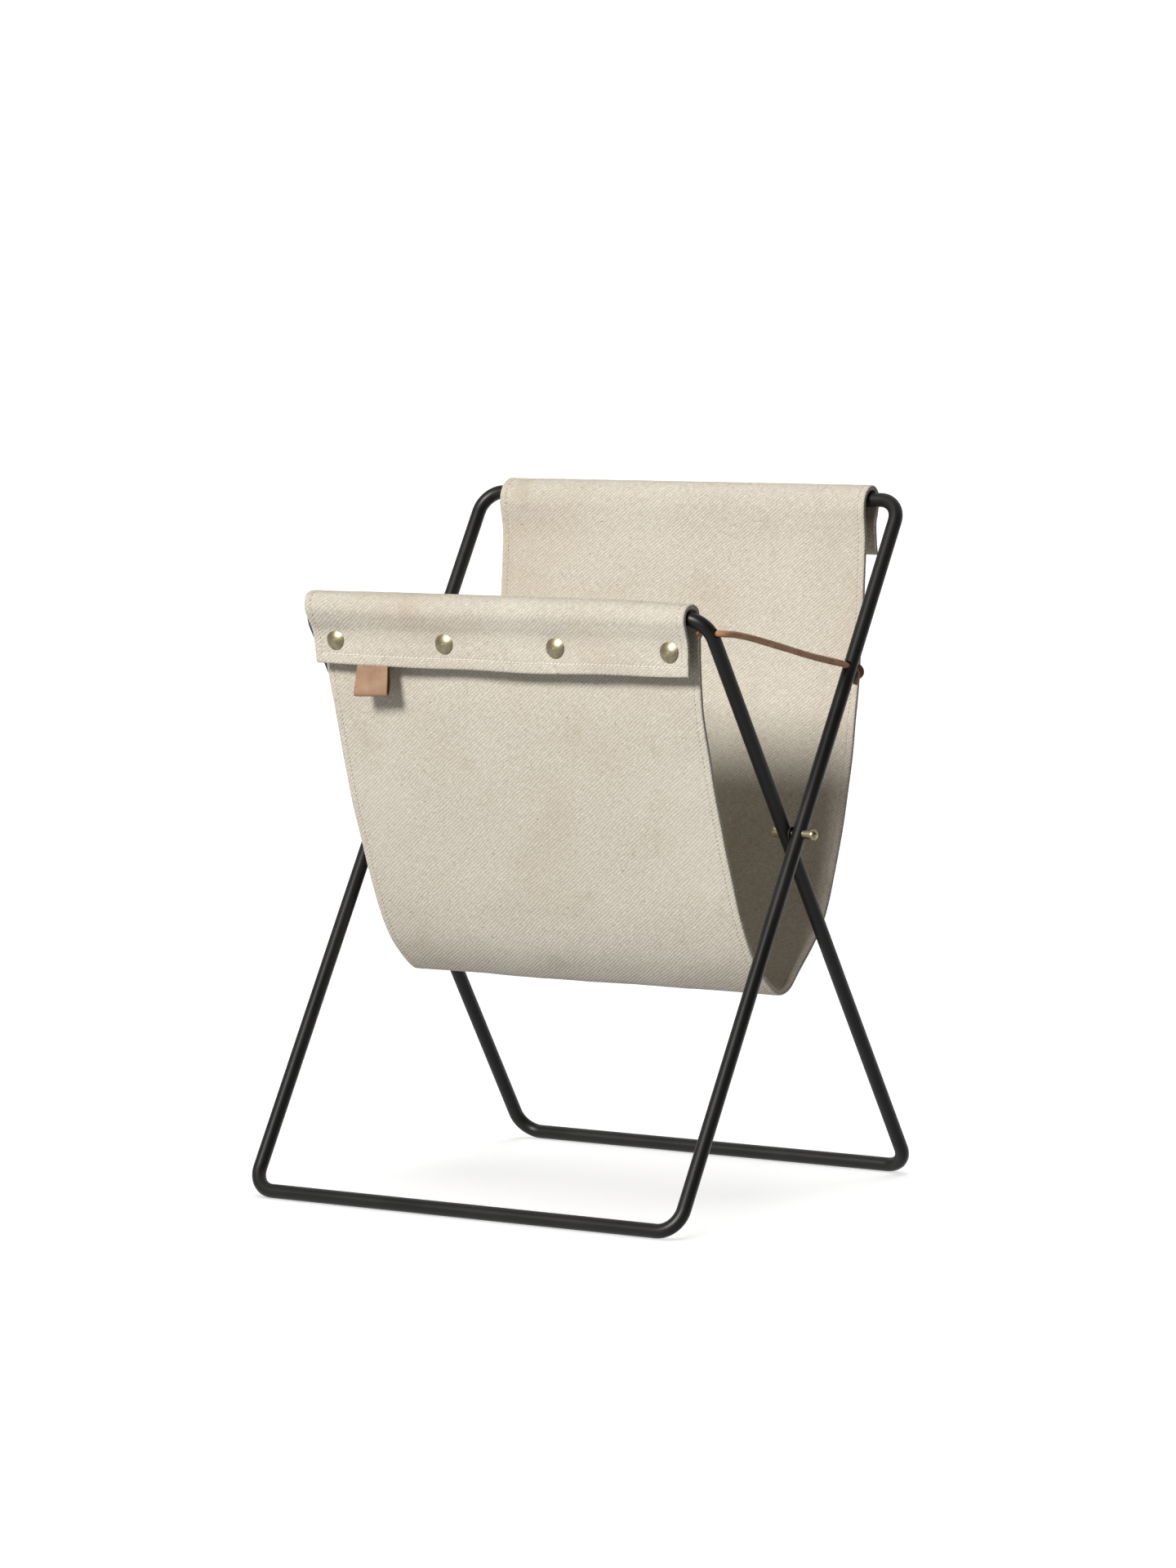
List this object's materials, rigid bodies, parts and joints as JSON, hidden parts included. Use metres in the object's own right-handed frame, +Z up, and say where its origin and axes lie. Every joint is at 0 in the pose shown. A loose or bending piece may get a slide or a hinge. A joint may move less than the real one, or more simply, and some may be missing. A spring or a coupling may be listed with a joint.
{
  "type": "folding magazine rack",
  "caption": "Folding scissor-leg magazine rack of bent black round rod with a hanging two-layer canvas sling, brass snaps and leather tie cords.",
  "frame": {"origin": "on the floor, midway between the two bottom bars and midway between the legs", "axes": "X along the bars, to the right seen from the lower front bar's side; +Y to the back, towards the higher top bar; +Z up"},
  "size_m": [0.368, 0.3064, 0.4665],
  "materials": {
    "black_rod": "semi-gloss black powder coat",
    "black_washer": "matt black",
    "brass": "satin, pale",
    "brown_cord": "matt, rolled",
    "tan_leather": "smooth, vegetable tanned",
    "canvas": "natural linen twill"
  },
  "bodies": {
    "outer_frame": {"outer_frame": "black_rod", "pivot_post_left": "brass", "pivot_screw_left": "brass", "pivot_outer_collar_left": "brass", "pivot_inner_collar_left": "brass", "pivot_washer_left": "black_washer", "tie_cord_left": "brown_cord", "cord_rear_knot_left": "brown_cord", "pivot_post_right": "brass", "pivot_screw_right": "brass", "pivot_outer_collar_right": "brass", "pivot_inner_collar_right": "brass", "pivot_washer_right": "black_washer", "tie_cord_right": "brown_cord", "cord_rear_knot_right": "brown_cord"},
    "inner_frame": {"inner_frame": "black_rod", "cord_front_knot_left": "brown_cord", "cord_front_knot_right": "brown_cord"},
    "sling_back": {"sling_back_outer_cloth": "canvas", "sling_back_lining": "canvas", "back_snap_caps": "brass", "back_snap_sockets": "brass", "back_snap_studs": "brass", "back_snap_posts": "brass"},
    "sling_front": {"sling_front_outer_cloth": "canvas", "sling_front_lining": "canvas", "front_snap_caps": "brass", "front_snap_sockets": "brass", "front_snap_studs": "brass", "front_snap_posts": "brass", "leather_tag": "tan_leather"}
  },
  "joints": [
    {"name": "fold", "type": "hinge", "parent": "outer_frame", "child": "inner_frame", "pos_m": [0, 0, 0.24544], "axis": [-1, 0, 0], "range_deg": [0, 60], "deforming": ["tie_cord_left", "tie_cord_right"]},
    {"name": "sling_swing", "type": "hinge", "parent": "outer_frame", "child": "sling_back", "pos_m": [0, 0.1302, 0.45652], "axis": [-1, 0, 0], "range_deg": [0, 8]},
    {"name": "sling_crease", "type": "hinge", "parent": "sling_back", "child": "sling_front", "pos_m": [0, 0, 0.145], "axis": [-1, 0, 0], "range_deg": [0, 40]}
  ],
  "couplings": [
    {"joint": "sling_swing", "follows": "fold", "ratio": 0.131},
    {"joint": "sling_crease", "follows": "fold", "ratio": 0.666}
  ]
}
